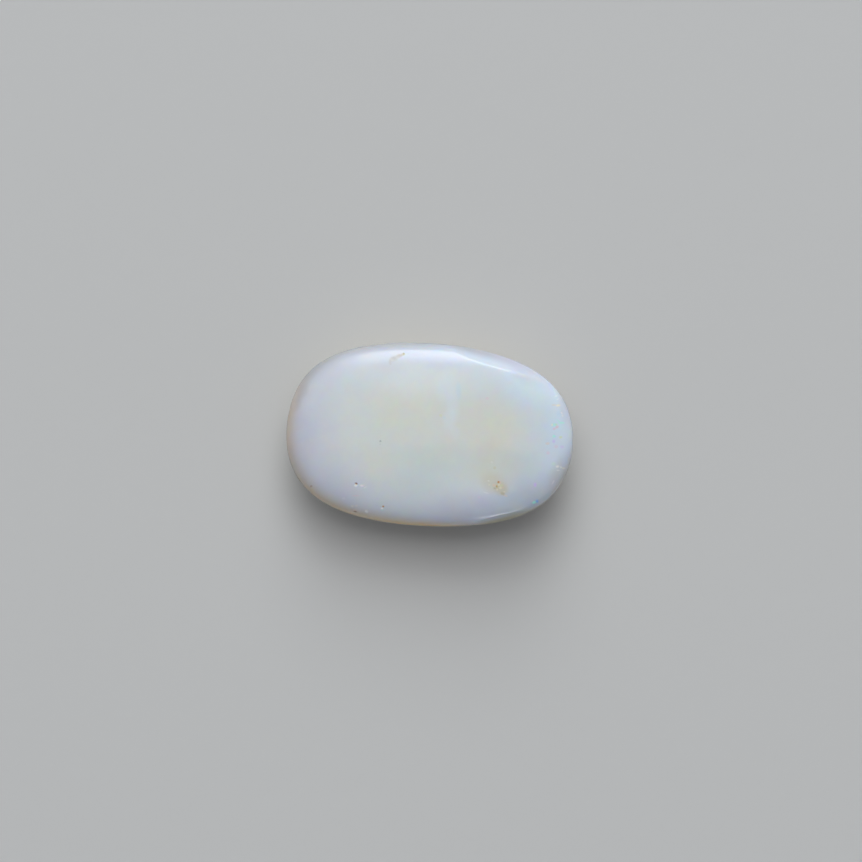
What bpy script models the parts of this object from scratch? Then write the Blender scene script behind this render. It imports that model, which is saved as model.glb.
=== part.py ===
"""A polished freeform opal: one stone with a gently domed face, soft shoulders and a flat ground back.

The stone lies on its back. +Z points up out of the face and +X runs along the length. The origin is
the middle of the flat back. Lengths are in metres.
"""

import math

import bmesh
import bpy
from mathutils import Vector

MM = 0.001

# The outline seen from above is a leaning ellipse with a few gentle waves in its radius.
ELLIPSE_HALF_LENGTH = 9.41 * MM
ELLIPSE_HALF_WIDTH = 5.84 * MM
OUTLINE_LEAN = math.radians(-3.7)
OUTLINE_WAVES = (
    # waves in one turn, size as a share of the radius, direction of the first crest in degrees
    (1, 0.0052, 203.0),
    (3, 0.0073, 108.0),
    (4, 0.0268, 45.0),
    (5, 0.0028, 71.6),
    (6, 0.0138, 29.2),
    (8, 0.0038, 21.9),
)

# The girdle is the widest level. The face domes up from it and the back is ground flat below it.
CROWN_HEIGHT = 1.9 * MM
BACK_DEPTH = 2.9 * MM
UNGROUND_DEPTH = 3.8 * MM

# The face's shoulder is soft, and turns square and tight towards the +X end.
SOFT_SHOULDER = 2.8
SQUARE_SHOULDER = 5.6
SHOULDER_TURN = math.radians(62.0)
SHOULDER_BLEND = 0.35
BACK_SHOULDER = 2.7

# Two long facets cut the far shoulder and the near shoulder. Each meets the face in a ridge that is
# crisp in the middle of the stone and fades out towards the +X end.
SHOULDER_FACETS = (
    # facing direction and slope from upright in degrees, distance from the girdle's centre
    (75.1, 55.0, 5.155 * MM),
    (-77.8, 66.0, 5.915 * MM),
)
CRISP_RIDGE = 260
SOFT_RIDGE = 50
RIDGE_FADE_START = 4.8 * MM
RIDGE_FADE_END = 7.0 * MM

ARRIS_BEVEL = 0.25 * MM
ARRIS_BEVEL_STEPS = 3

SEGMENTS = 96
CROWN_RINGS = 24
BACK_RINGS = 8

SHARP_ANGLE = math.radians(50)
OPAL_COLOUR = (0.74, 0.77, 0.78, 1.0)
OPAL_ROUGHNESS = 0.15
OPAL_IOR = 1.45


def clear_scene():
    for obj in list(bpy.data.objects):
        bpy.data.objects.remove(obj, do_unlink=True)


def outline_radius(azimuth):
    """Distance from the centre to the girdle, with azimuth measured from the leaning long axis."""
    along = math.cos(azimuth) / ELLIPSE_HALF_LENGTH
    across = math.sin(azimuth) / ELLIPSE_HALF_WIDTH
    wave = 1.0
    for count, size, crest in OUTLINE_WAVES:
        wave += size * math.cos(count * (azimuth - math.radians(crest)))
    return wave / math.hypot(along, across)


def face_shoulder(azimuth):
    """Power of the face's profile curve: the higher it is, the squarer the shoulder."""
    squareness = (1 + math.tanh((math.cos(azimuth) - math.cos(SHOULDER_TURN)) / SHOULDER_BLEND)) / 2
    return SOFT_SHOULDER + (SQUARE_SHOULDER - SOFT_SHOULDER) * squareness


def facet_normal(facing, slope):
    """Unit vector of a facet that faces this way and is tilted this far from level, in degrees."""
    level = math.sin(math.radians(slope))
    return Vector((
        level * math.cos(math.radians(facing)),
        level * math.sin(math.radians(facing)),
        math.cos(math.radians(slope)),
    ))


def ridge_sharpness(x):
    """Power of the cut at this place along the stone: the higher it is, the crisper the ridge."""
    fade = (x - RIDGE_FADE_START) / (RIDGE_FADE_END - RIDGE_FADE_START)
    return CRISP_RIDGE * (SOFT_RIDGE / CRISP_RIDGE) ** min(max(fade, 0.0), 1.0)


def surface_point(azimuth, climb):
    """Point of the unground stone, with climb running from a quarter turn on the face to below zero."""
    outward = math.cos(climb)
    upward = math.sin(climb)
    power = face_shoulder(azimuth) if upward > 0 else BACK_SHOULDER
    size = (abs(outward) ** power + abs(upward) ** power) ** (1 / power)
    radius = outline_radius(azimuth) * outward / size
    depth = CROWN_HEIGHT if upward > 0 else UNGROUND_DEPTH
    point = Vector((
        radius * math.cos(azimuth + OUTLINE_LEAN),
        radius * math.sin(azimuth + OUTLINE_LEAN),
        depth * upward / size,
    ))
    for facing, slope, distance in SHOULDER_FACETS:
        reach = max(point.dot(facet_normal(facing, slope)) / distance, 0.0)
        sharpness = ridge_sharpness(point.x)
        point /= (1 + reach**sharpness) ** (1 / sharpness)
    return point


def back_climb():
    """The climb at which the unground surface meets the plane of the flat back."""
    down = BACK_DEPTH / UNGROUND_DEPTH
    out = (1 - down**BACK_SHOULDER) ** (1 / BACK_SHOULDER)
    return -math.atan2(down, out)


def make_ring(bm, climb):
    ring = []
    for step in range(SEGMENTS):
        azimuth = 2 * math.pi * step / SEGMENTS
        ring.append(bm.verts.new(surface_point(azimuth, climb)))
    return ring


def join_rings(bm, upper, lower):
    for step in range(SEGMENTS):
        after = (step + 1) % SEGMENTS
        bm.faces.new((upper[step], lower[step], lower[after], upper[after]))


def bevel_arris(bm, back):
    """Softens the edge between the flat back and the sides."""
    bmesh.ops.bevel(
        bm,
        geom=list(back.edges),
        offset=ARRIS_BEVEL,
        segments=ARRIS_BEVEL_STEPS,
        profile=0.5,
        affect="EDGES",
    )


def set_on_back(bm):
    """Moves the stone so that the middle of its box, at the level of the back, is the origin."""
    lows = [min(vert.co[axis] for vert in bm.verts) for axis in range(3)]
    highs = [max(vert.co[axis] for vert in bm.verts) for axis in range(3)]
    middle = Vector(((lows[0] + highs[0]) / 2, (lows[1] + highs[1]) / 2, lows[2]))
    bmesh.ops.translate(bm, verts=bm.verts, vec=-middle)


def opal_mesh():
    bm = bmesh.new()
    top = bm.verts.new(surface_point(0.0, math.pi / 2))
    rings = []
    for step in range(1, CROWN_RINGS + 1):
        rings.append(make_ring(bm, math.pi / 2 * (1 - step / CROWN_RINGS)))
    for step in range(1, BACK_RINGS + 1):
        rings.append(make_ring(bm, back_climb() * step / BACK_RINGS))
    for step in range(SEGMENTS):
        bm.faces.new((top, rings[0][step], rings[0][(step + 1) % SEGMENTS]))
    for upper, lower in zip(rings, rings[1:]):
        join_rings(bm, upper, lower)
    back = bm.faces.new(list(reversed(rings[-1])))
    bevel_arris(bm, back)
    set_on_back(bm)
    mesh = bpy.data.meshes.new("opal")
    bm.to_mesh(mesh)
    bm.free()
    mesh.shade_smooth()
    mesh.set_sharp_from_angle(angle=SHARP_ANGLE)
    return mesh


def opal_material():
    material = bpy.data.materials.new("opal")
    material.use_nodes = True
    shader = material.node_tree.nodes["Principled BSDF"]
    shader.inputs["Base Color"].default_value = OPAL_COLOUR
    shader.inputs["Roughness"].default_value = OPAL_ROUGHNESS
    shader.inputs["Metallic"].default_value = 0.0
    shader.inputs["IOR"].default_value = OPAL_IOR
    return material


def make_opal():
    stone = bpy.data.objects.new("opal", opal_mesh())
    stone.data.materials.append(opal_material())
    bpy.context.scene.collection.objects.link(stone)


clear_scene()
make_opal()
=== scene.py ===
"""A polished white opal, lying on its flat back on a pale floor and seen from straight above."""

import math

import bmesh
import bpy
import numpy as np
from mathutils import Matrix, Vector, noise


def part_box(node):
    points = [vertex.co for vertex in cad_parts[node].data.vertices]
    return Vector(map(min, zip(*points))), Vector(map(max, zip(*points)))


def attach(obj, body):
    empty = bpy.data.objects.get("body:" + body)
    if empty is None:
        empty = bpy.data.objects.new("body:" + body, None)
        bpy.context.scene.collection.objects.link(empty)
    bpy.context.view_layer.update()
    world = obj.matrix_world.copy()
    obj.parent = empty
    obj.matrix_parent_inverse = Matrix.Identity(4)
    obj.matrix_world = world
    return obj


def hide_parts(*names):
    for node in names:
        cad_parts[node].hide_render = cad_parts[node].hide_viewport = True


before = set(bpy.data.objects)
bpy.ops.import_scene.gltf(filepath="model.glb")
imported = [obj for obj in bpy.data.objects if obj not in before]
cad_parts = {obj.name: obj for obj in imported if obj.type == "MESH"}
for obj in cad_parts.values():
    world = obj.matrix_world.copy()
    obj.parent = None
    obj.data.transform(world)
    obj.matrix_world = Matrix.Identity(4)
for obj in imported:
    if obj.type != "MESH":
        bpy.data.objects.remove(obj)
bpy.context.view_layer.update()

MM = 0.001

# The stone's form, with the girdle's centre as its origin.
ELLIPSE_HALF_LENGTH = 9.41 * MM
ELLIPSE_HALF_WIDTH = 5.84 * MM
OUTLINE_LEAN = math.radians(-3.7)
OUTLINE_WAVES = (
    # waves in one turn, size as a share of the radius, direction of the first crest in degrees
    (1, 0.0052, 203.0),
    (3, 0.0073, 108.0),
    (4, 0.0268, 45.0),
    (5, 0.0028, 71.6),
    (6, 0.0138, 29.2),
    (8, 0.0038, 21.9),
)
CROWN_HEIGHT = 1.9 * MM
BACK_DEPTH = 2.9 * MM
UNGROUND_DEPTH = 3.8 * MM
SOFT_SHOULDER = 2.8
SQUARE_SHOULDER = 5.6
SHOULDER_TURN = math.radians(62.0)
SHOULDER_BLEND = 0.35
BACK_SHOULDER = 2.7
SHOULDER_FACETS = (
    # facing and slope from upright in degrees, distance from the girdle's centre, ridge's crispness
    (75.1, 55.0, 5.155 * MM, 300),
    (-77.8, 66.0, 5.915 * MM, 520),
)
SOFT_RIDGE = 50
RIDGE_FADE_START = 4.8 * MM
RIDGE_FADE_END = 7.0 * MM
ARRIS_SHARPNESS = 45

SEGMENTS = 320
CROWN_RINGS = 220
BACK_RINGS = 44

# Hand polishing leaves the surface faintly wavy. In millimetres: depth and size of the waves.
POLISH_WAVES = (
    (0.010, 2.4),
    (0.0025, 0.7),
)
# The back, where the normals point further down than this, stays flat.
BACK_FACING = -0.9

# Open pits and shallow chips in the face, in millimetres: place, radius and depth.
PITS = (
    (-4.57, -3.10, 0.120, 0.055),
    (-4.19, -3.15, 0.100, 0.020),
    (-2.92, -4.54, 0.105, 0.045),
    (-4.79, -4.47, 0.080, 0.020),
    (-3.92, -4.79, 0.090, 0.025),
    (-4.64, -4.81, 0.080, 0.040),
    (-3.06, -0.42, 0.060, 0.030),
    (-7.39, -3.23, 0.070, 0.028),
    (4.27, -2.95, 0.080, 0.022),
    (4.16, -3.20, 0.065, 0.030),
    (4.52, -3.65, 0.090, 0.018),
    (3.66, -2.87, 0.055, 0.020),
    (4.03, -3.30, 0.070, 0.018),
    (-1.61, 5.02, 0.075, 0.030),
    (-1.92, 4.85, 0.190, 0.016),
    (-2.30, 4.71, 0.170, 0.012),
    (7.95, -1.98, 0.100, 0.022),
    (8.17, -2.03, 0.070, 0.020),
    (8.21, 1.35, 0.060, 0.018),
    (8.27, 1.17, 0.060, 0.016),
    (7.87, 2.40, 0.075, 0.014),
)
PIT_RAGGEDNESS = 0.3
PIT_ROUNDNESS = 1.5
# The faces within this many radii of a pit are split by this many cuts.
PIT_MARGIN = 1.7
PIT_CUTS = 4


def outline_radius(azimuth):
    """Distances from the centre to the girdle, with azimuths measured from the leaning long axis."""
    along = np.cos(azimuth) / ELLIPSE_HALF_LENGTH
    across = np.sin(azimuth) / ELLIPSE_HALF_WIDTH
    wave = 1.0
    for count, size, crest in OUTLINE_WAVES:
        wave = wave + size * np.cos(count * (azimuth - math.radians(crest)))
    return wave / np.hypot(along, across)


def face_shoulder(azimuth):
    """Power of the face's profile curve: the higher it is, the squarer the shoulder."""
    squareness = (1 + np.tanh((np.cos(azimuth) - math.cos(SHOULDER_TURN)) / SHOULDER_BLEND)) / 2
    return SOFT_SHOULDER + (SQUARE_SHOULDER - SOFT_SHOULDER) * squareness


def direction(facing, slope):
    """Unit vector with this compass direction and this angle from upright, in degrees."""
    level = math.sin(math.radians(slope))
    turn = math.radians(facing)
    return np.array([level * math.cos(turn), level * math.sin(turn), math.cos(math.radians(slope))])


def ridge_sharpness(x, crisp):
    """Power of the cut at these places along the stone: the higher it is, the crisper the ridge."""
    fade = (x - RIDGE_FADE_START) / (RIDGE_FADE_END - RIDGE_FADE_START)
    return crisp * (SOFT_RIDGE / crisp) ** np.clip(fade, 0.0, 1.0)


def soft_cut(points, normal, distance, sharpness):
    """Cuts the stone with a plane and leaves a soft ridge round the cut."""
    reach = np.maximum(points @ normal / distance, 0.0)
    return points / ((1 + reach**sharpness) ** (1 / sharpness))[..., None]


def surface_points(azimuth, climb):
    """Points of the stone, an array with a row for each azimuth and climb above the girdle."""
    outward = np.cos(climb)
    upward = np.sin(climb)
    power = np.where(upward > 0, face_shoulder(azimuth), BACK_SHOULDER)
    size = (np.abs(outward) ** power + np.abs(upward) ** power) ** (1 / power)
    radius = outline_radius(azimuth) * outward / size
    depth = np.where(upward > 0, CROWN_HEIGHT, UNGROUND_DEPTH)
    points = np.stack([
        radius * np.cos(azimuth + OUTLINE_LEAN),
        radius * np.sin(azimuth + OUTLINE_LEAN),
        depth * upward / size,
    ], axis=-1)
    for facing, slope, distance, crisp in SHOULDER_FACETS:
        sharpness = ridge_sharpness(points[..., 0], crisp)
        points = soft_cut(points, direction(facing, slope), distance, sharpness)
    return soft_cut(points, direction(0, 180), BACK_DEPTH, ARRIS_SHARPNESS)


def fit_to_frame(points):
    """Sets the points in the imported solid's own box, which they would pass by a few microns."""
    low, high = (np.array(corner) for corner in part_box("opal"))
    lowest = points.min(axis=0)
    highest = points.max(axis=0)
    return low + (points - lowest) * (high - low) / (highest - lowest)


def smooth_stone():
    """The stone's mesh before its pits: rings of points from the top of the face to the flat back."""
    azimuth = np.linspace(0, 2 * math.pi, SEGMENTS, endpoint=False)
    crown = math.pi / 2 * (1 - np.arange(1, CROWN_RINGS + 1) / CROWN_RINGS)
    back = -math.pi / 2 * np.arange(1, BACK_RINGS) / BACK_RINGS
    climb = np.concatenate([crown, back])
    rings = len(climb)
    points = surface_points(*np.meshgrid(azimuth, climb)).reshape(-1, 3)
    points = fit_to_frame(np.vstack([points, [(0, 0, CROWN_HEIGHT), (0, 0, -BACK_DEPTH)]]))
    top = rings * SEGMENTS
    bottom = top + 1
    index = np.arange(top).reshape(rings, SEGMENTS)
    after = np.roll(index, -1, axis=1)
    quads = np.stack([index[:-1], index[1:], after[1:], after[:-1]], axis=-1).reshape(-1, 4)
    faces = quads.tolist()
    faces += [(top, a, b) for a, b in zip(index[0].tolist(), after[0].tolist())]
    faces += [(bottom, b, a) for a, b in zip(index[-1].tolist(), after[-1].tolist())]
    mesh = bpy.data.meshes.new("opal_stone")
    mesh.from_pydata(points.tolist(), [], faces)
    return mesh


def find_pits(bm):
    """Where each pit lies on the face, in millimetres, with its radius and depth."""
    face = [vert.co / MM for vert in bm.verts if vert.co.z > BACK_DEPTH]
    places = np.array(face)
    found = []
    for x, y, radius, depth in PITS:
        nearest = np.hypot(places[:, 0] - x, places[:, 1] - y).argmin()
        found.append((Vector((x, y, face[nearest].z)), radius, depth))
    return found


def refine_round(bm, pits):
    """Splits the faces round each pit finely enough to carry its shape."""
    edges = set()
    for face in bm.faces:
        centre = face.calc_center_median() / MM
        if any((centre - place).length < radius * PIT_MARGIN for place, radius, depth in pits):
            edges.update(face.edges)
    bmesh.ops.subdivide_edges(bm, edges=list(edges), cuts=PIT_CUTS, use_grid_fill=True)
    many_sided = [face for face in bm.faces if len(face.verts) > 4]
    bmesh.ops.triangulate(bm, faces=many_sided)


def polish_depth(place):
    """How far polishing has sunk the surface here, in millimetres."""
    depth = 0.0
    for wave_depth, wave_size in POLISH_WAVES:
        depth += wave_depth * (1 + noise.noise(place / wave_size)) / 2
    return depth


def pit_depth(place, pits):
    """How deep a pit is at this place, in millimetres, with a ragged rim and a round floor."""
    deepest = 0.0
    for centre, radius, depth in pits:
        distance = (place - centre).length
        if distance > radius * (1 + PIT_RAGGEDNESS):
            continue
        rim = radius * (1 + PIT_RAGGEDNESS * noise.noise(place / radius))
        inside = max(1 - (distance / rim) ** 2, 0.0)
        deepest = max(deepest, depth * inside**PIT_ROUNDNESS)
    return deepest


def stone_mesh():
    mesh = smooth_stone()
    bm = bmesh.new()
    bm.from_mesh(mesh)
    pits = find_pits(bm)
    refine_round(bm, pits)
    bm.normal_update()
    sunk = []
    for vert in bm.verts:
        place = vert.co / MM
        depth = pit_depth(place, pits)
        if vert.normal.z > BACK_FACING:
            depth += polish_depth(place)
        sunk.append(vert.co - vert.normal * depth * MM)
    for vert, place in zip(bm.verts, sunk):
        vert.co = place
    bm.to_mesh(mesh)
    bm.free()
    mesh.shade_smooth()
    return mesh


# The body's colours, from the middle of the face outwards.
CORE = (0.78, 0.81, 0.79)
LEFT_RIM = (0.66, 0.69, 0.79)
RIGHT_RIM = (0.70, 0.79, 0.92)
# dark grey painted shade where the shoulder turns down
DARK_EDGE_SHADE = (0.46, 0.48, 0.51)
BACK = (0.66, 0.63, 0.54)
BACK_PATCH = (0.64, 0.54, 0.39)
WARM_CLOUD = (0.80, 0.78, 0.69)
COOL_CLOUD = (0.72, 0.81, 0.84)

# Broad soft areas of colour: place, half length, half width (mm), turn, colour and strength. Some are
# the body's own tones; the others are painted light and shade, paler across the far half and at the
# upper right, darker towards both ends, along the edges and across the near half.
TONE_AND_SHADING_AREAS = (
    (-4.9, 3.2, 3.4, 2.0, 35, (0.74, 0.79, 0.80), 0.6),
    # painted shade at the left end and along its upper edge
    (-7.3, 2.7, 2.6, 1.2, 52, (0.70, 0.72, 0.78), 0.5),
    (-8.10, 2.7, 2.3, 0.55, 58, (0.46, 0.47, 0.51), 0.8),
    (-8.3, -0.9, 1.7, 3.6, 0, (0.62, 0.63, 0.72), 0.7),
    # painted glow over the body's blue at the upper right, then painted shade along that edge
    (6.0, 3.2, 3.0, 1.9, -38, (0.76, 0.87, 0.97), 0.8),
    (5.7, 4.0, 2.8, 0.95, -28, (0.60, 0.63, 0.75), 0.75),
    (8.1, 0.9, 1.3, 2.6, 0, (0.72, 0.86, 0.97), 0.6),
    (8.5, 1.7, 1.9, 0.6, 105, (0.60, 0.65, 0.76), 0.6),
    (5.6, -1.8, 1.8, 1.6, 0, (0.66, 0.72, 0.74), 0.6),
    # painted shade along the near side at the right
    (3.3, -4.7, 2.8, 1.1, 8, (0.55, 0.57, 0.67), 0.6),
    (5.9, -3.9, 3.6, 2.1, 22, (0.57, 0.63, 0.71), 0.9),
    (8.2, -2.6, 2.3, 1.0, 62, (0.60, 0.60, 0.62), 0.7),
    (1.9, -4.6, 2.6, 1.6, 5, (0.64, 0.66, 0.76), 0.7),
    (-2.2, -3.8, 3.8, 2.0, -8, (0.74, 0.79, 0.83), 0.8),
    (-3.4, 1.0, 3.0, 1.8, 5, (0.76, 0.82, 0.79), 0.6),
    (-1.8, 1.5, 4.2, 2.3, -5, (0.79, 0.80, 0.73), 0.7),
    (3.9, 0.6, 3.0, 2.7, 0, (0.79, 0.80, 0.72), 0.75),
    (3.8, -1.9, 2.2, 2.2, 10, (0.76, 0.73, 0.63), 0.7),
    (0.4, -1.2, 2.8, 1.2, 0, (0.75, 0.78, 0.74), 0.7),
    (0.3, 4.8, 4.5, 0.8, -6, (0.72, 0.76, 0.86), 0.6),
    # darker across the near half and paler across the far half: painted shade and painted light
    (0.4, -2.7, 4.6, 1.7, 0, (0.66, 0.75, 0.78), 0.5),
    (0.0, 3.4, 6.0, 1.6, -3, (0.86, 0.90, 0.87), 0.45),
    (1.0, -1.5, 8.0, 1.3, -3, (0.64, 0.73, 0.73), 0.35),
)

# The edge's painted shade, darker than the body all round where the shoulder turns down, warmed to tan,
# honey and olive on the left and near sides; that warmth is partly the stone's own tint and partly
# painted light through the thin edge. Laid out as the areas above.
EDGE_SHADES_AND_TINTS = (
    (-7.3, 3.6, 4.2, 1.9, 47, (0.43, 0.44, 0.46), 1.0),
    (5.6, 4.2, 4.0, 2.6, -30, (0.58, 0.59, 0.70), 1.0),
    (9.0, 0.0, 2.0, 4.2, 0, (0.56, 0.60, 0.66), 1.0),
    (8.2, -3.0, 3.2, 2.0, 55, (0.52, 0.49, 0.42), 1.0),
    (-9.0, 0.6, 2.6, 4.6, 0, (0.62, 0.54, 0.47), 1.0),
    (-5.6, -4.6, 5.4, 3.0, -27, (0.72, 0.62, 0.46), 1.0),
    (-0.6, -6.0, 6.4, 2.6, 0, (0.84, 0.68, 0.43), 1.0),
    (5.6, -5.3, 4.6, 2.4, 20, (0.52, 0.49, 0.37), 0.9),
)

# The marks' colours.
BROWN = (0.36, 0.20, 0.11)
RUST = (0.66, 0.34, 0.13)
UMBER = (0.40, 0.30, 0.22)
AMBER = (0.76, 0.52, 0.18)
OLIVE = (0.56, 0.52, 0.28)
STRAW = (0.66, 0.61, 0.42)
TAN = (0.62, 0.58, 0.52)
CREAM = (0.95, 0.90, 0.72)
PEACH = (0.86, 0.68, 0.56)
ROSE = (0.86, 0.64, 0.74)
WHITE = (0.98, 0.98, 0.97)
PALE = (0.80, 0.87, 0.93)
SKY = (0.58, 0.80, 1.0)
AZURE = (0.34, 0.62, 1.0)
VIOLET = (0.74, 0.58, 0.94)
LAVENDER = (0.76, 0.74, 0.90)
MINT = (0.46, 0.96, 0.82)
LEAF = (0.66, 0.92, 0.66)
LEMON = (0.74, 0.82, 0.50)
STEEL = (0.46, 0.50, 0.52)

# Stains, streaks and flecks on the face, with painted shade and highlights in the pits and a painted
# sparkle on two chips: place, half length, half width (mm), turn, colour and strength.
MARKS_AND_GLINTS = (
    # the tan mark in the far shoulder
    (-1.90, 4.86, 0.25, 0.16, 24, TAN, 0.65),
    (-2.24, 4.71, 0.28, 0.19, 22, TAN, 0.6),
    (-2.45, 4.50, 0.10, 0.20, 0, TAN, 0.35),
    (-1.70, 4.97, 0.12, 0.09, 50, TAN, 0.7),
    (-1.71, 4.78, 0.15, 0.13, 0, LAVENDER, 0.6),
    (-1.61, 5.02, 0.085, 0.10, 0, OLIVE, 0.65),
    # a grey speck left of the middle
    (-3.06, -0.42, 0.075, 0.065, 0, STEEL, 0.7),
    (-3.06, -0.61, 0.05, 0.04, 0, STEEL, 0.3),
    # the pits' walls: the brown and rust over their upper walls are stains deepened by painted shade,
    # and the white and mint just below them are painted highlights on the lower walls
    (-4.56, -3.03, 0.11, 0.065, 0, BROWN, 0.9),
    (-4.58, -3.17, 0.13, 0.08, 0, WHITE, 1.0),
    (-4.19, -3.17, 0.15, 0.09, 0, WHITE, 0.7),
    (-4.00, -3.28, 0.12, 0.06, 20, WHITE, 0.3),
    (-2.89, -4.48, 0.085, 0.06, 0, RUST, 0.85),
    (-2.95, -4.60, 0.11, 0.07, 0, WHITE, 0.9),
    (-2.95, -4.70, 0.12, 0.05, 0, MINT, 0.3),
    (-4.79, -4.45, 0.11, 0.09, 0, CREAM, 0.4),
    (-4.57, -4.44, 0.10, 0.08, 0, CREAM, 0.3),
    (-5.35, -3.98, 0.12, 0.08, 0, WHITE, 0.2),
    (-3.92, -4.79, 0.12, 0.11, 0, WHITE, 0.7),
    (-4.64, -4.81, 0.12, 0.05, -10, UMBER, 0.75),
    (-3.23, -4.00, 0.11, 0.09, 0, LAVENDER, 0.35),
    (-4.59, -3.80, 0.28, 0.05, 0, ROSE, 0.35),
    (-7.39, -3.23, 0.09, 0.07, 30, BROWN, 0.5),
    # the stained patch near the lower right
    (3.95, -3.00, 0.90, 0.70, -30, STRAW, 0.3),
    (4.42, -3.36, 0.52, 0.40, -35, STRAW, 0.5),
    (4.52, -3.66, 0.17, 0.11, -20, OLIVE, 0.45),
    (4.72, -3.80, 0.13, 0.07, -20, PEACH, 0.5),
    (4.27, -2.95, 0.085, 0.07, 0, RUST, 0.95),
    (4.38, -2.98, 0.05, 0.09, 0, PEACH, 0.7),
    (4.16, -3.22, 0.05, 0.11, 25, AMBER, 0.8),
    (4.00, -3.15, 0.12, 0.11, 0, PEACH, 0.5),
    (4.29, -3.12, 0.10, 0.06, 0, CREAM, 0.6),
    (4.47, -3.16, 0.11, 0.07, 15, LEMON, 0.4),
    (4.40, -3.30, 0.10, 0.10, 0, CREAM, 0.45),
    (4.55, -3.30, 0.05, 0.04, 0, PEACH, 0.6),
    (4.03, -3.34, 0.10, 0.05, -15, UMBER, 0.3),
    (4.19, -3.42, 0.06, 0.06, 0, CREAM, 0.5),
    (4.62, -3.55, 0.07, 0.05, 0, CREAM, 0.4),
    (3.66, -2.87, 0.07, 0.06, 0, WHITE, 0.5),
    (3.70, -3.12, 0.06, 0.05, 0, CREAM, 0.35),
    (3.51, -3.61, 0.20, 0.05, -15, WHITE, 0.3),
    (4.03, -2.06, 0.11, 0.10, 0, STRAW, 0.4),
    (3.86, -1.72, 0.08, 0.07, 0, WHITE, 0.25),
    (3.07, -3.89, 0.11, 0.10, 0, ROSE, 0.2),
    # the pale streak and the specks right of the middle
    (1.05, 2.85, 0.80, 0.95, 0, PALE, 0.5),
    (1.45, 1.90, 0.42, 1.10, 10, PALE, 0.4),
    (1.25, 1.00, 0.45, 0.85, -8, PALE, 0.5),
    (1.55, 0.15, 0.35, 0.50, 0, PALE, 0.25),
    (1.80, 2.70, 0.20, 0.65, 4, SKY, 0.2),
    (0.69, 1.19, 0.10, 0.09, 0, LEMON, 0.5),
    (0.90, 1.05, 0.12, 0.12, 0, SKY, 0.2),
    (3.57, 2.24, 0.12, 0.10, 0, ROSE, 0.35),
    # the colour flecks near the right end
    (7.99, 1.81, 0.15, 0.08, 5, CREAM, 0.9),
    (7.72, 1.84, 0.17, 0.06, 0, PEACH, 0.35),
    (8.20, 0.73, 0.21, 0.07, 0, MINT, 0.6),
    (8.00, 0.84, 0.15, 0.06, -40, MINT, 0.35),
    (7.75, 0.60, 0.13, 0.11, 20, MINT, 0.6),
    (7.86, 0.62, 0.07, 0.06, 0, LEMON, 0.6),
    (7.60, 0.60, 0.055, 0.09, 0, CREAM, 0.8),
    (7.91, 0.47, 0.12, 0.09, 30, ROSE, 0.8),
    (7.73, 0.36, 0.10, 0.08, 0, ROSE, 0.7),
    (7.72, -0.10, 0.11, 0.10, 0, MINT, 0.9),
    (8.14, -0.17, 0.11, 0.08, 0, LEMON, 0.75),
    (7.70, -0.42, 0.11, 0.13, 0, VIOLET, 0.5),
    (7.32, -0.55, 0.15, 0.09, 0, PEACH, 0.5),
    (7.85, -0.75, 0.15, 0.12, 0, ROSE, 0.35),
    (8.23, -0.77, 0.16, 0.10, 0, VIOLET, 0.35),
    (7.35, -1.14, 0.13, 0.11, 0, ROSE, 0.4),
    (8.05, 1.32, 0.22, 0.26, 0, SKY, 0.35),
    (8.21, 1.35, 0.05, 0.08, 20, WHITE, 0.5),
    (8.27, 1.17, 0.05, 0.07, 20, WHITE, 0.45),
    (7.87, 2.40, 0.11, 0.05, 30, WHITE, 0.5),
    (7.96, 2.19, 0.09, 0.05, 30, WHITE, 0.4),
    # the honey and olive tinge of the near edge: partly the stone's own tint, partly painted shade and
    # painted light through the thin edge
    (-0.5, -5.80, 4.00, 0.34, 1, AMBER, 0.22),
    (5.2, -5.22, 2.90, 0.38, 18, OLIVE, 0.34),
    (8.05, -3.10, 1.40, 0.22, 62, TAN, 0.35),
    # the flecks and chips of the lower right shoulder
    (6.55, -3.12, 0.11, 0.16, 0, VIOLET, 0.75),
    (6.39, -3.34, 0.08, 0.07, 0, VIOLET, 0.25),
    (6.50, -4.21, 0.16, 0.10, 15, MINT, 1.0),
    (6.68, -4.14, 0.10, 0.11, 0, AZURE, 1.0),
    (6.37, -4.12, 0.06, 0.05, 0, ROSE, 0.3),
    # painted sparkle: the white and cream over the two chips near the right end
    (7.95, -1.98, 0.13, 0.09, 0, WHITE, 0.7),
    (8.17, -2.02, 0.07, 0.08, 0, WHITE, 0.5),
    (8.34, -2.10, 0.12, 0.07, 0, CREAM, 0.45),
    (7.99, -2.22, 0.12, 0.05, 0, WHITE, 0.4),
    (7.70, -1.82, 0.15, 0.13, 0, LEAF, 0.25),
    (7.68, -2.97, 0.05, 0.16, -30, WHITE, 0.3),
)

# The face as an oval: place, half length, half width (mm) and turn. The core's colour gives way to the
# rim's between these shares of the way out, and the rim's left colour to its right one between these
# places along the stone.
FACE_OVAL = (0, 0, 9.2, 5.9, math.degrees(OUTLINE_LEAN))
CORE_TO_RIM = (0.4, 1.0)
LEFT_TO_RIGHT = (-8.0, 7.0)

# Where soft ovals reach full strength and where they end, as shares of the way to their rim.
AREA_SPREAD = (0.1, 1.0)
EDGE_SPREAD = (0.1, 1.1)
MARK_SPREAD = (0.35, 1.3)

# The irregularity of the ovals: the size of its waves and how far they reach, in millimetres.
AREA_WANDER = (2.4, 0.6)
EDGE_WANDER = (1.4, 0.9)
MARK_WANDER = (0.16, 0.035)

# Heights in millimetres between which the edge's painted shade, the back's colours and the marks come
# in.
EDGE_SHADE_HEIGHTS = (4.25, 3.45)
BACK_HEIGHTS = (3.7, 2.1)
MARK_HEIGHTS = (2.8, 3.7)

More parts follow.
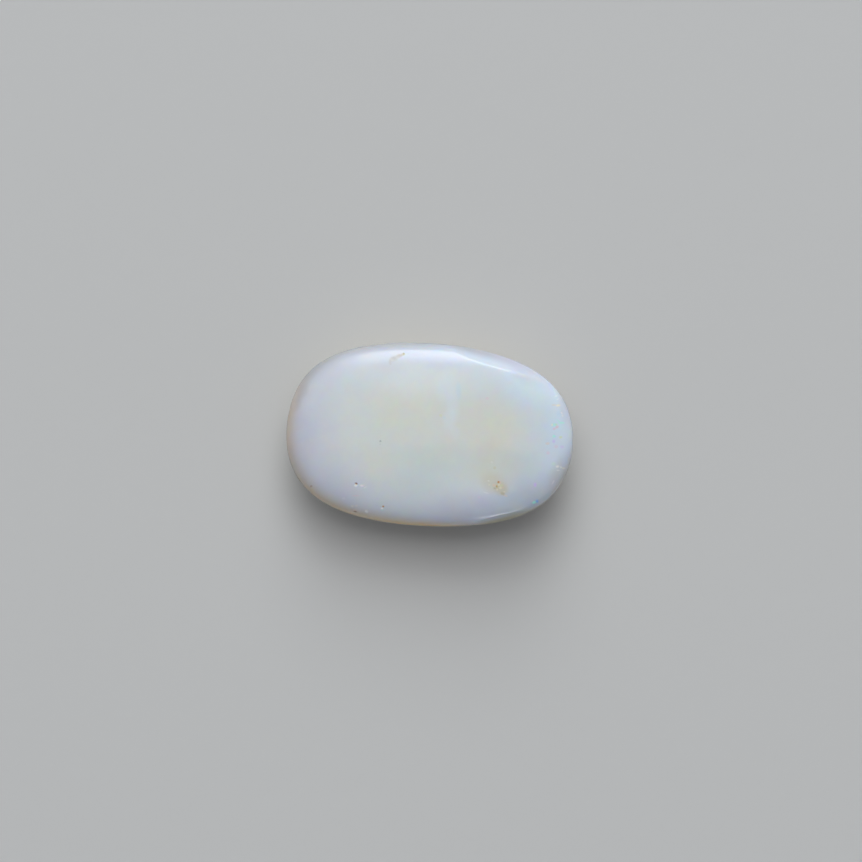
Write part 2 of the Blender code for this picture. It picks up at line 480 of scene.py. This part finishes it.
# The body's clouds, which come in between these values of their noise.
CLOUD_BOUNDS = (0.52, 0.75)
CLOUD_STRENGTH = 0.16
CLOUDS = (
    # size in millimetres, shift of its noise, colour
    (1.9, (0.0, 0.0, 0.0), WARM_CLOUD),
    (1.5, (31.0, 7.0, 13.0), COOL_CLOUD),
)

# The back's patches: their noise's scale along each axis, which draws them out level like layers,
# their size in millimetres, the values of the noise between which they come in, and how far they
# shift the back's upper limit in millimetres.
LAYER_SCALE = (0.35, 0.35, 1.6)
LAYER_SIZE = 1.3
LAYER_BOUNDS = (0.38, 0.68)
LAYER_WAVE = 1.2

# The faint play of colour: its strength, and its size in millimetres.
PASTEL = 0.07
PASTEL_SIZE = 0.9

# The polish: its range of roughness, between these values of a noise of this size in millimetres.
GLOSS = (0.055, 0.085)
GLOSS_BOUNDS = (0.3, 0.7)
GLOSS_SIZE = 1.2

# The finest waves that polishing leaves: their size in millimetres and their depth.
SKIN_SIZE = 0.28
SKIN_DEPTH = 0.00035 * MM

# Light scatters about a millimetre into the stone, and its red part furthest.
OPAL_IOR = 1.45
SCATTER_DEPTH = 1.0 * MM
SCATTER_BY_COLOUR = (1.0, 0.7, 0.45)

# The numbers of the Mix node's colour sockets.
MIX_UNDER = 6
MIX_OVER = 7
MIX_COLOUR = 2


def add_node(tree, kind, inputs, output=0, **settings):
    """Adds a node, fills its inputs with values or links, and returns one of its outputs."""
    node = tree.nodes.new("ShaderNode" + kind)
    for name, value in settings.items():
        setattr(node, name, value)
    for name, value in inputs.items():
        if isinstance(value, bpy.types.NodeSocket):
            tree.links.new(value, node.inputs[name])
        else:
            node.inputs[name].default_value = value
    return node.outputs[output]


def ease(tree, value, start, end, low=0.0, high=1.0):
    """Runs smoothly from low to high as the value goes from start to end."""
    limits = {"Value": value, "From Min": start, "From Max": end, "To Min": low, "To Max": high}
    return add_node(tree, "MapRange", limits, interpolation_type="SMOOTHSTEP")


def tint(tree, factor, under, over):
    """Lays one colour over another."""
    inputs = {0: factor}
    for socket, colour in ((MIX_UNDER, under), (MIX_OVER, over)):
        inputs[socket] = (*colour, 1) if isinstance(colour, tuple) else colour
    return add_node(tree, "Mix", inputs, MIX_COLOUR, data_type="RGBA")


def product(tree, first, second):
    return add_node(tree, "Math", {0: first, 1: second}, operation="MULTIPLY")


def part(tree, vector, axis):
    return add_node(tree, "SeparateXYZ", {0: vector}, axis)


def cloud(tree, place, size, detail=2.0, roughness=0.5, output=0):
    """Soft noise with features of about this size in millimetres."""
    inputs = {"Vector": place, "Scale": 1 / size, "Detail": detail, "Roughness": roughness}
    return add_node(tree, "TexNoise", inputs, output)


def stray(tree, place, size, reach):
    """The place, moved irregularly by up to about this reach in millimetres."""
    drift = cloud(tree, place, size, output="Color")
    centred = add_node(tree, "VectorMath", {0: drift, 1: (0.5, 0.5, 0.5)}, operation="SUBTRACT")
    scaled = add_node(tree, "VectorMath", {0: centred, "Scale": 2 * reach}, operation="SCALE")
    return add_node(tree, "VectorMath", {0: place, 1: scaled}, operation="ADD")


def seen_from_above(tree, place):
    """The place with 1 for its height, so that one dot product measures along any level axis."""
    inputs = {0: place, 1: (1, 1, 0), 2: (0, 0, 1)}
    return add_node(tree, "VectorMath", inputs, operation="MULTIPLY_ADD")


def oval_distance(tree, place, x, y, half_length, half_width, turn):
    """Distance from an oval's centre, as a share of the way to its rim, on the plan of the face."""
    angle = math.radians(turn)
    shares = {}
    for axis, way, half in ((0, angle, half_length), (1, angle + math.pi / 2, half_width)):
        across = math.cos(way) / half
        up = math.sin(way) / half
        measure = {0: place, 1: (across, up, -(x * across + y * up))}
        shares[axis] = add_node(tree, "VectorMath", measure, "Value", operation="DOT_PRODUCT")
    local = add_node(tree, "CombineXYZ", shares)
    return add_node(tree, "VectorMath", {0: local}, "Value", operation="LENGTH")


def lay_spots(tree, place, spots, colour, core, rim):
    """Lays soft ovals over a colour: full strength up to the core, and nothing past the rim."""
    for *oval, spot_colour, strength in spots:
        distance = oval_distance(tree, place, *oval)
        colour = tint(tree, ease(tree, distance, rim, core, 0.0, strength), colour, spot_colour)
    return colour


def pastel(tree, place, colour):
    """The faint play of colour in the body: small patches lean towards pink, green or blue."""
    hues = cloud(tree, place, PASTEL_SIZE, detail=3.0, roughness=0.6, output="Color")
    inputs = {0: hues, 1: (PASTEL, PASTEL, PASTEL), 2: (1 - PASTEL / 2,) * 3}
    lean = add_node(tree, "VectorMath", inputs, operation="MULTIPLY_ADD")
    return add_node(tree, "VectorMath", {0: colour, 1: lean}, operation="MULTIPLY")


def body_colour_and_shading(tree, place):
    """The stone's colour as seen on the face, without its marks: its own tones, with painted light and
    shade in its broad areas.
    """
    wandering = seen_from_above(tree, stray(tree, place, *AREA_WANDER))
    along = part(tree, wandering, "X")
    rim = tint(tree, ease(tree, along, *LEFT_TO_RIGHT), LEFT_RIM, RIGHT_RIM)
    outwards = oval_distance(tree, wandering, *FACE_OVAL)
    colour = tint(tree, ease(tree, outwards, *CORE_TO_RIM), CORE, rim)
    colour = lay_spots(tree, wandering, TONE_AND_SHADING_AREAS, colour, *AREA_SPREAD)
    for size, shift, cloud_colour in CLOUDS:
        shifted = add_node(tree, "VectorMath", {0: place, 1: shift}, operation="ADD")
        drift = cloud(tree, shifted, size, detail=3.0)
        thickness = ease(tree, drift, *CLOUD_BOUNDS, high=CLOUD_STRENGTH)
        colour = tint(tree, thickness, colour, cloud_colour)
    return pastel(tree, place, colour)


def lay_edge_shade(tree, place, height, colour):
    """Lays painted shade, with warm tints on the left and near sides, over the body's colour where the
    shoulder turns down.
    """
    wandering = seen_from_above(tree, stray(tree, place, *EDGE_WANDER))
    edge_shade_colour = lay_spots(tree, wandering, EDGE_SHADES_AND_TINTS, DARK_EDGE_SHADE, *EDGE_SPREAD)
    return tint(tree, ease(tree, height, *EDGE_SHADE_HEIGHTS), colour, edge_shade_colour)


def lay_back(tree, place, height, colour):
    """Lays the back's colours over the lower sides, up to an uneven level, in patches like layers."""
    drawn_out = add_node(tree, "VectorMath", {0: place, 1: LAYER_SCALE}, operation="MULTIPLY")
    layers = cloud(tree, drawn_out, LAYER_SIZE, detail=4.0, roughness=0.6)
    raised = {0: layers, 1: LAYER_WAVE, 2: height}
    uneven = add_node(tree, "Math", raised, operation="MULTIPLY_ADD")
    back_colour = tint(tree, ease(tree, layers, *LAYER_BOUNDS), BACK, BACK_PATCH)
    back_colour = pastel(tree, place, back_colour)
    return tint(tree, ease(tree, uneven, *BACK_HEIGHTS), colour, back_colour)


def lay_marks_and_glints(tree, place, height, colour):
    """Lays the stains, streaks and flecks over the face, with the painted highlights and shade among
    them.
    """
    ragged = seen_from_above(tree, stray(tree, place, *MARK_WANDER))
    marked = lay_spots(tree, ragged, MARKS_AND_GLINTS, colour, *MARK_SPREAD)
    return tint(tree, ease(tree, height, *MARK_HEIGHTS), colour, marked)


def opal_material():
    material = bpy.data.materials.new("opal_body")
    material.use_nodes = True
    tree = material.node_tree
    shader = tree.nodes["Principled BSDF"]
    metres = add_node(tree, "TexCoord", {}, "Object")
    place = add_node(tree, "VectorMath", {0: metres, "Scale": 1 / MM}, operation="SCALE")
    height = part(tree, place, "Z")

    colour = body_colour_and_shading(tree, place)
    colour = lay_edge_shade(tree, place, height, colour)
    colour = lay_back(tree, place, height, colour)
    colour = lay_marks_and_glints(tree, place, height, colour)
    tree.links.new(colour, shader.inputs["Base Color"])

    wear = cloud(tree, place, GLOSS_SIZE, detail=4.0, roughness=0.6)
    tree.links.new(ease(tree, wear, *GLOSS_BOUNDS, *GLOSS), shader.inputs["Roughness"])
    skin = cloud(tree, place, SKIN_SIZE, detail=3.0, roughness=0.55)
    bump = add_node(tree, "Bump", {"Height": skin, "Distance": SKIN_DEPTH, "Strength": 1.0})
    tree.links.new(bump, shader.inputs["Normal"])
    shader.inputs["IOR"].default_value = OPAL_IOR
    shader.inputs["Subsurface Weight"].default_value = 1.0
    shader.inputs["Subsurface Radius"].default_value = SCATTER_BY_COLOUR
    shader.inputs["Subsurface Scale"].default_value = SCATTER_DEPTH
    return material


def make_stone():
    stone = bpy.data.objects.new("opal_stone", stone_mesh())
    bpy.context.scene.collection.objects.link(stone)
    stone.data.materials.append(opal_material())
    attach(stone, "root")
    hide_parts("opal")


FLOOR_HALF_SIZE = 20.0
FLOOR_COLOUR = (0.62, 0.62, 0.61, 1)
FLOOR_ROUGHNESS = 0.9


def make_floor():
    half = FLOOR_HALF_SIZE
    corners = [(-half, -half, 0), (half, -half, 0), (half, half, 0), (-half, half, 0)]
    mesh = bpy.data.meshes.new("floor")
    mesh.from_pydata(corners, [], [(0, 1, 2, 3)])
    floor = bpy.data.objects.new("floor", mesh)
    bpy.context.scene.collection.objects.link(floor)
    material = bpy.data.materials.new("floor")
    material.use_nodes = True
    shader = material.node_tree.nodes["Principled BSDF"]
    shader.inputs["Base Color"].default_value = FLOOR_COLOUR
    shader.inputs["Roughness"].default_value = FLOOR_ROUGHNESS
    mesh.materials.append(material)


KEY_LIGHT = (0.94, 0.98, 1.0)
SKY_LIGHT = (0.9, 0.93, 1.0, 1)
SKY_STRENGTH = 0.25


def soften_edges(light, side_fade, near_fade, far_fade):
    """Fades a lamp's shine towards its edges, as a soft box does, over these shares of its size."""
    light.use_nodes = True
    tree = light.node_tree
    place = add_node(tree, "NewGeometry", {}, "Parametric")
    across = part(tree, place, "X")
    along = part(tree, place, "Y")
    sides = product(tree, ease(tree, across, 0.0, side_fade), ease(tree, across, 1.0, 1 - side_fade))
    ends = product(tree, ease(tree, along, 0.0, near_fade), ease(tree, along, 1.0, 1 - far_fade))
    tree.links.new(product(tree, sides, ends), tree.nodes["Emission"].inputs["Strength"])


def area_light(name, facing, slope, distance, width, height, radiance):
    """A rectangular lamp in this direction from the stone, turned to face it. Lengths are in metres."""
    light = bpy.data.lights.new(name, "AREA")
    light.shape = "RECTANGLE"
    light.size = width
    light.size_y = height
    light.energy = radiance * math.pi * width * height
    lamp = bpy.data.objects.new(name, light)
    way = Vector(direction(facing, slope))
    lamp.location = way * distance + Vector((0, 0, BACK_DEPTH))
    lamp.rotation_euler = (-way).to_track_quat("-Z", "Y").to_euler()
    lamp.visible_camera = False
    bpy.context.scene.collection.objects.link(lamp)
    return lamp


def make_lights():
    """A cool soft box beyond the far side, a broad one overhead, and a small glint for each ridge."""
    key = area_light("key", 89, 54, distance=1.20, width=1.24, height=1.04, radiance=4.8)
    key.data.color = KEY_LIGHT
    soften_edges(key.data, side_fade=0.45, near_fade=0.12, far_fade=0.5)
    top = area_light("top", 92, 29, distance=1.60, width=1.60, height=1.04, radiance=2.0)
    top.visible_glossy = False
    near_glint = area_light("near_glint", -77, 68, distance=0.88, width=0.40, height=0.56, radiance=11.0)
    far_glint = area_light("far_glint", 77.5, 70, distance=0.88, width=0.27, height=0.36, radiance=14.0)
    for glint in (near_glint, far_glint):
        glint.visible_diffuse = False
        soften_edges(glint.data, side_fade=0.5, near_fade=0.5, far_fade=0.5)
    world = bpy.data.worlds.new("world")
    world.use_nodes = True
    background = world.node_tree.nodes["Background"]
    background.inputs["Color"].default_value = SKY_LIGHT
    background.inputs["Strength"].default_value = SKY_STRENGTH
    bpy.context.scene.world = world


# The camera looks straight down at the face, as the photograph looks straight at it.
FRAME_SPAN = 54.1 * MM
CAMERA_SENSOR = 36.0
CAMERA_LENS = 100.0
CAMERA_OFFSET = (0.088 * MM, 0.220 * MM)
CAMERA_REACH = (0.01, 10.0)


def make_camera():
    lens = bpy.data.cameras.new("camera")
    lens.lens = CAMERA_LENS
    lens.sensor_width = CAMERA_SENSOR
    lens.clip_start, lens.clip_end = CAMERA_REACH
    camera = bpy.data.objects.new("camera", lens)
    camera.location = (*CAMERA_OFFSET, BACK_DEPTH + FRAME_SPAN * CAMERA_LENS / CAMERA_SENSOR)
    bpy.context.scene.collection.objects.link(camera)
    bpy.context.scene.camera = camera


make_stone()
make_floor()
make_lights()
make_camera()
bpy.context.scene.view_settings.view_transform = "Standard"
